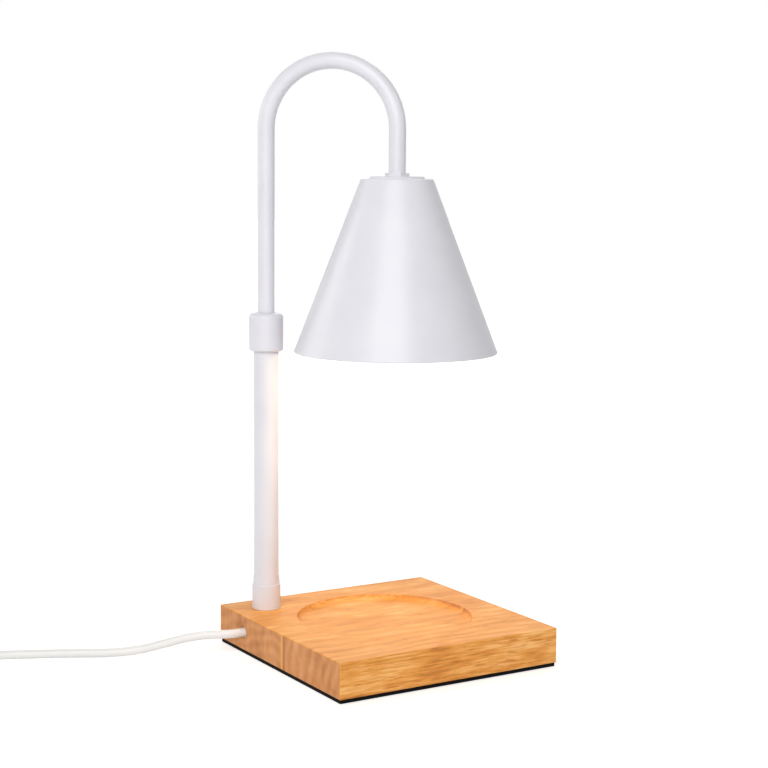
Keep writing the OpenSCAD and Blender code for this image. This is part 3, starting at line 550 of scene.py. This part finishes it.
def moulded(name, low, high, grain, rough_from, rough_to, depth):
    """Moulded or extruded plastic or rubber.

    The tool's spark-eroded grain, in millimetres, breaks up the shine, and the colour drifts
    slightly from one end of a piece to the other.
    """
    finish = empty_finish(name)
    place = add(finish, "ShaderNodeTexCoord", {})
    pits = add(finish, "ShaderNodeTexNoise",
               {"Vector": place.outputs["Object"], "Scale": per_mm(grain), "Detail": 2.0,
                "Roughness": 0.5})
    drift = add(finish, "ShaderNodeTexNoise",
                {"Vector": place.outputs["Object"], "Scale": per_mm(15), "Detail": 2.0})
    tint = add(finish, "ShaderNodeValToRGB",
               {"Fac": drift.outputs["Fac"]},
               [(0.0, low), (1.0, high)])
    rough = add(finish, "ShaderNodeMapRange",
                {"Value": pits.outputs["Fac"], "From Min": 0.3, "From Max": 0.7,
                 "To Min": rough_from, "To Max": rough_to})
    relief = add(finish, "ShaderNodeBump",
                 {"Height": pits.outputs["Fac"], "Distance": depth * MM, "Strength": 0.7})
    surface = add(finish, "ShaderNodeBsdfPrincipled",
                  {"Base Color": tint.outputs[0], "Roughness": rough.outputs[0],
                   "Normal": relief.outputs[0], "IOR": 1.5})
    add(finish, "ShaderNodeOutputMaterial", {"Surface": surface.outputs[0]})
    return finish


def foam_rubber():
    """Closed-cell foam rubber cut from sheet: dead matt black, with open cells 0.6 mm wide."""
    finish = empty_finish("black_foam_rubber")
    place = add(finish, "ShaderNodeTexCoord", {})
    cells = add(finish, "ShaderNodeTexVoronoi",
                {"Vector": place.outputs["Object"], "Scale": per_mm(0.6), "Randomness": 1.0},
                feature="F1")
    tint = add(finish, "ShaderNodeValToRGB",
               {"Fac": cells.outputs["Distance"]},
               [(0.0, "#040404"), (0.5, "#0B0B0B"), (1.0, "#101010")])
    relief = add(finish, "ShaderNodeBump",
                 {"Height": cells.outputs["Distance"], "Distance": 0.1 * MM, "Strength": 0.8})
    surface = add(finish, "ShaderNodeBsdfPrincipled",
                  {"Base Color": tint.outputs[0], "Roughness": 0.95, "Normal": relief.outputs[0],
                   "IOR": 1.5, "Specular IOR Level": 0.15})
    add(finish, "ShaderNodeOutputMaterial", {"Surface": surface.outputs[0]})
    return finish


def woven_glass_sleeve():
    """Woven glass sleeving over the lead: off-white, with threads 0.5 mm apart."""
    finish = empty_finish("woven_glass_sleeving")
    place = add(finish, "ShaderNodeTexCoord", {})
    weave = add(finish, "ShaderNodeTexBrick",
                {"Vector": place.outputs["Object"], "Scale": per_mm(1.0), "Mortar Size": 0.08,
                 "Brick Width": 1.0, "Row Height": 0.5, "Color1": linear("#E6E0D0"),
                 "Color2": linear("#D8D0BC"), "Mortar": linear("#B9AF98")})
    relief = add(finish, "ShaderNodeBump",
                 {"Height": weave.outputs["Fac"], "Distance": 0.05 * MM, "Strength": 0.6},
                 invert=True)
    surface = add(finish, "ShaderNodeBsdfPrincipled",
                  {"Base Color": weave.outputs["Color"], "Roughness": 0.75,
                   "Normal": relief.outputs[0]})
    add(finish, "ShaderNodeOutputMaterial", {"Surface": surface.outputs[0]})
    return finish


def fired_steatite():
    """Pressed and fired steatite: cream, dull, with grains about 0.5 mm across."""
    finish = empty_finish("fired_steatite")
    place = add(finish, "ShaderNodeTexCoord", {})
    grain = add(finish, "ShaderNodeTexNoise",
                {"Vector": place.outputs["Object"], "Scale": per_mm(0.5), "Detail": 3.0})
    tint = add(finish, "ShaderNodeValToRGB",
               {"Fac": grain.outputs["Fac"]},
               [(0.35, "#DDD6C6"), (0.65, "#EFEADD")])
    relief = add(finish, "ShaderNodeBump",
                 {"Height": grain.outputs["Fac"], "Distance": 0.03 * MM, "Strength": 0.6})
    surface = add(finish, "ShaderNodeBsdfPrincipled",
                  {"Base Color": tint.outputs[0], "Roughness": 0.68, "Normal": relief.outputs[0],
                   "IOR": 1.55})
    add(finish, "ShaderNodeOutputMaterial", {"Surface": surface.outputs[0]})
    return finish


def lacquered_board():
    """Glass-epoxy board under green lacquer, with tracks 1 mm apart that show through."""
    finish = empty_finish("lacquered_glass_epoxy")
    place = add(finish, "ShaderNodeTexCoord", {})
    tracks = add(finish, "ShaderNodeTexBrick",
                 {"Vector": place.outputs["Object"], "Scale": per_mm(4), "Mortar Size": 0.06,
                  "Color1": linear("#1E5B36"), "Color2": linear("#246B40"),
                  "Mortar": linear("#123F24")})
    relief = add(finish, "ShaderNodeBump",
                 {"Height": tracks.outputs["Fac"], "Distance": 0.03 * MM, "Strength": 0.5},
                 invert=True)
    surface = add(finish, "ShaderNodeBsdfPrincipled",
                  {"Base Color": tracks.outputs["Color"], "Roughness": 0.35,
                   "Normal": relief.outputs[0], "IOR": 1.5})
    add(finish, "ShaderNodeOutputMaterial", {"Surface": surface.outputs[0]})
    return finish


def paper_tie():
    """Paper laminated over a wire: pale grey, matt, with creases about 1.7 mm apart."""
    finish = empty_finish("paper_over_wire")
    place = add(finish, "ShaderNodeTexCoord", {})
    pulp = add(finish, "ShaderNodeTexNoise",
               {"Vector": place.outputs["Object"], "Scale": per_mm(0.6), "Detail": 3.0})
    tint = add(finish, "ShaderNodeValToRGB",
               {"Fac": pulp.outputs["Fac"]},
               [(0.3, "#C3C2BE"), (0.7, "#D9D8D5")])
    crease = add(finish, "ShaderNodeTexWave",
                 {"Vector": place.outputs["Object"], "Scale": band_scale(1.5), "Distortion": 2.0,
                  "Detail": 2.0},
                 wave_type="BANDS", bands_direction="DIAGONAL")
    relief = add(finish, "ShaderNodeBump",
                 {"Height": crease.outputs["Fac"], "Distance": 0.04 * MM, "Strength": 0.6})
    surface = add(finish, "ShaderNodeBsdfPrincipled",
                  {"Base Color": tint.outputs[0], "Roughness": 0.7, "Normal": relief.outputs[0]})
    add(finish, "ShaderNodeOutputMaterial", {"Surface": surface.outputs[0]})
    return finish


# ---------------------------------------------------------------- bulb

# The bulb's axis, and how far the brighter middle of its front reaches
BULB_X, BULB_Y = 3.528 * MM, -3.528 * MM
GLOW_R = 23 * MM


def lit_borosilicate():
    """Pressed borosilicate front, lit from behind: small lenses, hotter in the middle."""
    finish = empty_finish("lit_borosilicate_front")
    place = add(finish, "ShaderNodeTexCoord", {})
    spot = add(finish, "ShaderNodeMapping",
               {"Vector": place.outputs["Object"], "Location": (-BULB_X, -BULB_Y, 0)})
    lenses = add(finish, "ShaderNodeTexVoronoi",
                 {"Vector": spot.outputs[0], "Scale": per_mm(3.2), "Randomness": 0.35},
                 feature="F1")
    reach = add(finish, "ShaderNodeVectorMath",
                {0: spot.outputs[0], 1: (1, 1, 0)},
                operation="MULTIPLY")
    reach = add(finish, "ShaderNodeVectorMath", {0: reach.outputs[0]}, operation="LENGTH")
    glow = add(finish, "ShaderNodeMapRange",
               {"Value": reach.outputs["Value"], "From Min": 0.0, "From Max": GLOW_R})
    warm = add(finish, "ShaderNodeValToRGB",
               {"Fac": glow.outputs[0]},
               [(0.0, "#FFF6E6"), (0.5, "#FFE8CA"), (1.0, "#FFD9A8")])
    tint = add(finish, "ShaderNodeValToRGB",
               {"Fac": lenses.outputs["Distance"]},
               [(0.0, "#FFF8EC"), (0.6, "#EADFCB")])
    relief = add(finish, "ShaderNodeBump",
                 {"Height": lenses.outputs["Distance"], "Distance": 0.5 * MM, "Strength": 0.8})
    surface = add(finish, "ShaderNodeBsdfPrincipled",
                  {"Base Color": tint.outputs[0], "Roughness": 0.22, "Normal": relief.outputs[0],
                   "IOR": 1.47, "Emission Color": warm.outputs[0], "Emission Strength": 19.0})
    add(finish, "ShaderNodeOutputMaterial", {"Surface": surface.outputs[0]})
    return finish


def mirror_coating():
    """Aluminium coated on glass in a vacuum: bright, with facets about 4 mm wide."""
    finish = empty_finish("vacuum_coated_aluminium")
    place = add(finish, "ShaderNodeTexCoord", {})
    spot = add(finish, "ShaderNodeMapping",
               {"Vector": place.outputs["Object"], "Location": (-BULB_X, -BULB_Y, 0)})
    facets = add(finish, "ShaderNodeTexVoronoi",
                 {"Vector": spot.outputs[0], "Scale": per_mm(4), "Randomness": 0.3})
    tint = add(finish, "ShaderNodeValToRGB",
               {"Fac": facets.outputs["Distance"]},
               [(0.0, "#DEDAD2"), (0.7, "#C9C3BA")])
    relief = add(finish, "ShaderNodeBump",
                 {"Height": facets.outputs["Distance"], "Distance": 0.3 * MM, "Strength": 0.6})
    surface = add(finish, "ShaderNodeBsdfPrincipled",
                  {"Base Color": tint.outputs[0], "Metallic": 1.0, "Roughness": 0.16,
                   "Normal": relief.outputs[0]})
    add(finish, "ShaderNodeOutputMaterial", {"Surface": surface.outputs[0]})
    return finish


def glowing_quartz():
    """Clear quartz burner, drawn and pinched: smooth, and glowing a warm white."""
    finish = empty_finish("glowing_quartz")
    place = add(finish, "ShaderNodeTexCoord", {})
    heat = add(finish, "ShaderNodeTexNoise",
               {"Vector": place.outputs["Object"], "Scale": per_mm(3)})
    warm = add(finish, "ShaderNodeValToRGB",
               {"Fac": heat.outputs["Fac"]},
               [(0.3, "#FFE2B0"), (0.7, "#FFF1D6")])
    surface = add(finish, "ShaderNodeBsdfPrincipled",
                  {"Base Color": warm.outputs[0], "Roughness": 0.08, "IOR": 1.46,
                   "Emission Color": warm.outputs[0], "Emission Strength": 2.0})
    add(finish, "ShaderNodeOutputMaterial", {"Surface": surface.outputs[0]})
    return finish


# ---------------------------------------------------------------- who gets which finish

def paint(finish, *names):
    """Gives these CAD nodes that finish."""
    for name in names:
        if not nodes[name].material_slots:
            nodes[name].data.materials.append(finish)
        for slot in nodes[name].material_slots:
            slot.material = finish


sheath = moulded("extruded_white_pvc", "#EDEDEB", "#F3F3F2", 1.2, 0.42, 0.34, 0.02)

paint(oiled_alder(), "base_block")
paint(foam_rubber(), "foot_pad")
paint(powder_coated_steel(), "post_ferrule", "post_tube", "lock_collar", "arm_tube", "top_nut",
      "cap_disc", "shade")
paint(sheath, "cord_entry", "cord_lead", "cord_link", "cord_coil", "cord_tail")
paint(moulded("moulded_white_elastomer", "#E4E4E3", "#ECECEB", 0.9, 0.62, 0.52, 0.03),
      "cord_bushing", "dimmer_boots", "plug_boot")
paint(moulded("moulded_white_abs", "#E9E9E8", "#F1F1F0", 0.6, 0.5, 0.4, 0.025),
      "dimmer_base", "dimmer_cover", "dimmer_wheel", "plug_body")
paint(moulded("extruded_brown_pvc", "#5A2F1B", "#6B3A22", 0.8, 0.45, 0.35, 0.01),
      "core_wires", "dimmer_wires")
sleeving = woven_glass_sleeve()
paint(sleeving, "lamp_lead", "post_lead", "arm_lead")
slack_lead.data.materials.append(sleeving)
paint(moulded("moulded_natural_nylon", "#E6E0CC", "#EFEADB", 0.8, 0.5, 0.4, 0.02),
      "collet", "guide_bush", "crimp_caps")
paint(zinc_plated_steel(), "ferrule_screw", "post_washer", "post_lock_washer", "keeper_rings",
      "holder_bracket", "holder_screws", "dimmer_screws")
paint(turned_brass(), "post_nipple", "post_nut", "thread_sleeve", "inner_nut", "plug_blades")
paint(fired_steatite(), "lamp_holder", "bulb_neck")
paint(nickel_plate(), "bulb_pins")
paint(mirror_coating(), "bulb_reflector")
paint(glowing_quartz(), "bulb_capsule")
paint(lit_borosilicate(), "bulb_lens")
paint(lacquered_board(), "dimmer_board")
paint(paper_tie(), "coil_tie")
for flex in (lead_flex, tail_flex):
    flex.data.materials.append(sheath)


# ---------------------------------------------------------------- studio

TABLE_R = 9
TABLE_SIDES = 64
TABLE_DROP = 0.2 * MM

# The table's own light grows from near the object to where it is plain white
FADE_FROM, FADE_TO = 120 * MM, 420 * MM
LIFT_NEAR, LIFT_FAR = 0.5, 0.95

# Strength of the surround as a light, and as the background
ROOM_LIGHT, ROOM_SEEN = 0.27, 1.0

LAMP_MIDDLE = (0, 0, 0.15)
WHITE = "#FFFFFF"


def seen_directly(finish):
    """1 for rays from the camera, and for those that a glossy or clear surface sends on."""
    rays = add(finish, "ShaderNodeLightPath", {})
    camera_or_gloss = add(finish, "ShaderNodeMath",
                          {0: rays.outputs["Is Camera Ray"], 1: rays.outputs["Is Glossy Ray"]},
                          operation="MAXIMUM")
    seen = add(finish, "ShaderNodeMath",
               {0: camera_or_gloss.outputs[0], 1: rays.outputs["Is Transmission Ray"]},
               operation="MAXIMUM")
    return seen.outputs[0]


def matte_white_table():
    """Painted board, matt white: it keeps the object's soft shadow and fades to plain white."""
    finish = empty_finish("matte_white_table")
    place = add(finish, "ShaderNodeTexCoord", {})
    reach = add(finish, "ShaderNodeVectorMath", {0: place.outputs["Object"]}, operation="LENGTH")
    lift = add(finish, "ShaderNodeMapRange",
               {"Value": reach.outputs["Value"], "From Min": FADE_FROM, "From Max": FADE_TO,
                "To Min": LIFT_NEAR, "To Max": LIFT_FAR})
    lift = add(finish, "ShaderNodeMath",
               {0: seen_directly(finish), 1: lift.outputs[0]},
               operation="MULTIPLY")
    surface = add(finish, "ShaderNodeBsdfPrincipled",
                  {"Base Color": linear("#EFEFEF"), "Roughness": 0.9, "Specular IOR Level": 0.0,
                   "Emission Color": (1, 1, 1, 1), "Emission Strength": lift.outputs[0]})
    add(finish, "ShaderNodeOutputMaterial", {"Surface": surface.outputs[0]})
    return finish


def lay_table():
    """A pale table that goes on past the picture."""
    mesh = bpy.data.meshes.new("studio_table")
    form = bmesh.new()
    bmesh.ops.create_circle(form, cap_ends=True, segments=TABLE_SIDES, radius=TABLE_R)
    bmesh.ops.translate(form, vec=(0, 0, -TABLE_DROP), verts=form.verts)
    form.to_mesh(mesh)
    form.free()
    table = bpy.data.objects.new("studio_table", mesh)
    bpy.context.collection.objects.link(table)
    mesh.materials.append(matte_white_table())


def white_room():
    """An even pale surround, shown as pure white."""
    world = bpy.data.worlds.new("white_room")
    world.use_nodes = True
    world.node_tree.nodes.clear()
    bpy.context.scene.world = world
    level = add(world, "ShaderNodeMapRange",
                {"Value": seen_directly(world), "To Min": ROOM_LIGHT, "To Max": ROOM_SEEN})
    surround = add(world, "ShaderNodeBackground",
                   {"Color": (1, 1, 1, 1), "Strength": level.outputs[0]})
    add(world, "ShaderNodeOutputWorld", {"Surface": surround.outputs[0]})


def soft_box(name, place, size, power):
    """A soft square white lamp at a place, turned to face the object."""
    data = bpy.data.lights.new(name, "AREA")
    data.shape = "SQUARE"
    data.size = size
    data.energy = power
    data.color = linear(WHITE)[:3]
    lamp = bpy.data.objects.new(name, data)
    bpy.context.collection.objects.link(lamp)
    lamp.location = place
    lamp.rotation_mode = "QUATERNION"
    lamp.rotation_quaternion = (Vector(place) - Vector(LAMP_MIDDLE)).to_track_quat("Z", "Y")


lay_table()
white_room()
soft_box("key_box", (-0.906, -1.118, 0.87), size=1.2, power=17.5)
soft_box("left_box", (-0.93, 1.18, 0.6), size=0.8, power=4)
soft_box("back_box", (0.8, 1.15, 1.1), size=1.2, power=6)

bpy.context.scene.view_settings.view_transform = "Standard"

bpy.context.view_layer.update()
